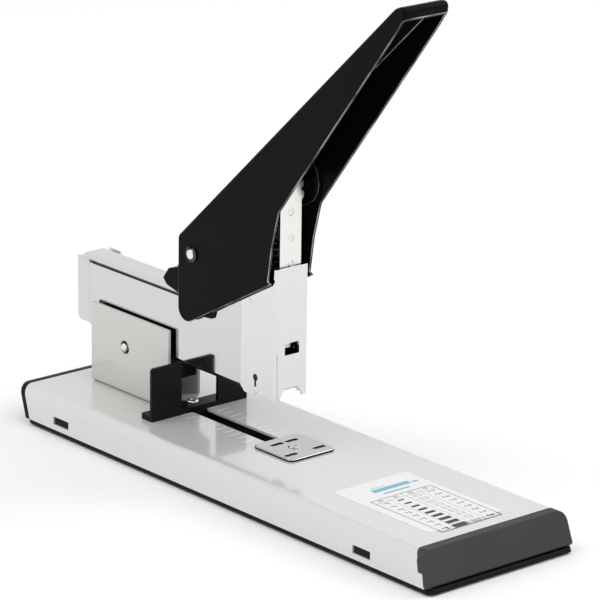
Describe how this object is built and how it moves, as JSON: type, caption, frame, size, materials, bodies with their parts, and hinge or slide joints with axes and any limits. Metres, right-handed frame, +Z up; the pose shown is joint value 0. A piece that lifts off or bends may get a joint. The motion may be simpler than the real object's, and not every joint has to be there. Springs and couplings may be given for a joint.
{
  "type": "heavy-duty stapler",
  "caption": "Heavy-duty desktop stapler with a long flat base, a plated arm, a tall lever handle and a sliding paper guide.",
  "frame": {"origin": "middle of the base, on the surface that the feet stand on", "axes": "+Z up, +X from the rear end to the front end, +Y to the left of a user behind it"},
  "size_m": [0.285, 0.0842, 0.2362],
  "materials": {
    "cover_paint": "soft-gloss light grey paint",
    "bracket_paint": "satin light grey paint",
    "plated_steel": "bright plated",
    "driver_steel": "fine ground, nickel plated",
    "dark_steel": "blackened",
    "pin_steel": "bright",
    "spring_steel": "drawn wire",
    "staple_wire": "galvanised wire, glued",
    "black_lacquer": "satin black lacquer",
    "black_plastic": "fine-grained black",
    "cap_plastic": "matte charcoal",
    "foot_rubber": "matte black",
    "label_film": "printed film"
  },
  "bodies": {
    "base": {"base_cover": "cover_paint", "base_tray": "black_plastic", "rear_end_cap": "black_plastic", "front_end_cap": "cap_plastic", "rubber_feet": "foot_rubber", "guide_rail": "dark_steel", "size_label": "label_film", "stand_bracket": "bracket_paint", "bracket_rivets": "pin_steel", "arm_pivot_rivet": "pin_steel", "pivot_washers": "dark_steel", "arm_lift_spring": "spring_steel"},
    "anvil": {"anvil_plate": "plated_steel", "anvil_rivet": "pin_steel", "anvil_spring_washer": "spring_steel"},
    "guide": {"paper_guide": "black_plastic", "guide_slider": "black_plastic", "guide_screw": "pin_steel"},
    "arm": {"arm_channel": "plated_steel", "arm_pivot_bush": "pin_steel", "spring_seat": "black_plastic", "magazine_channel": "dark_steel", "top_rail": "plated_steel", "head_housing": "plated_steel", "driver_guide": "dark_steel", "pivot_frame": "black_lacquer", "frame_rivets": "dark_steel", "head_rivets": "pin_steel", "handle_pivot_pin": "pin_steel", "retaining_rings": "dark_steel", "driver_return_spring": "spring_steel"},
    "magazine_rail": {"staple_core_rail": "dark_steel", "magazine_rear_cap": "plated_steel", "rail_block": "black_plastic", "staple_strip": "staple_wire", "pusher_spring": "spring_steel"},
    "latch": {"rail_latch": "black_plastic"},
    "pusher": {"staple_pusher": "dark_steel"},
    "handle": {"handle_lever": "black_lacquer", "cam_plates": "black_lacquer"},
    "driver": {"driver_blade": "driver_steel", "driver_carrier": "dark_steel", "cross_pin": "pin_steel"}
  },
  "joints": [
    {"name": "arm_pivot", "type": "hinge", "parent": "base", "child": "arm", "pos_m": [-0.1, 0, 0.0409], "axis": [0, 1, 0], "range_deg": [0, 12.2], "stiffness_Nm_per_rad": 2.2, "springref_deg": -28.65, "deforming": ["arm_lift_spring"]},
    {"name": "handle_pivot", "type": "hinge", "parent": "arm", "child": "handle", "pos_m": [-0.0513, 0, 0.0975], "axis": [0, 1, 0], "range_deg": [0, 25], "stiffness_Nm_per_rad": 0.55, "springref_deg": -34.38},
    {"name": "driver_slide", "type": "slide", "parent": "arm", "child": "driver", "axis": [0, 0, -1], "range_m": [0, 0.0261], "deforming": ["driver_return_spring"]},
    {"name": "guide_slide", "type": "slide", "parent": "base", "child": "guide", "axis": [1, 0, 0], "range_m": [0, 0.045]},
    {"name": "anvil_turn", "type": "hinge", "parent": "base", "child": "anvil", "pos_m": [0.0062, 0, 0.0183], "axis": [0, 0, 1], "range_deg": [0, 180]},
    {"name": "magazine_slide", "type": "slide", "parent": "arm", "child": "magazine_rail", "axis": [-1, 0, 0], "range_m": [0, 0.1]},
    {"name": "latch_press", "type": "slide", "parent": "magazine_rail", "child": "latch", "axis": [1, 0, 0], "range_m": [0, 0.0025], "stiffness_N_per_m": 600, "springref_m": -0.003},
    {"name": "pusher_slide", "type": "slide", "parent": "magazine_rail", "child": "pusher", "axis": [-1, 0, 0], "range_m": [0, 0.04], "stiffness_N_per_m": 60, "springref_m": -0.05, "deforming": ["pusher_spring"]}
  ],
  "couplings": [
    {"joint": "driver_slide", "follows": "handle_pivot", "m_per_rad": 0.059588}
  ]
}
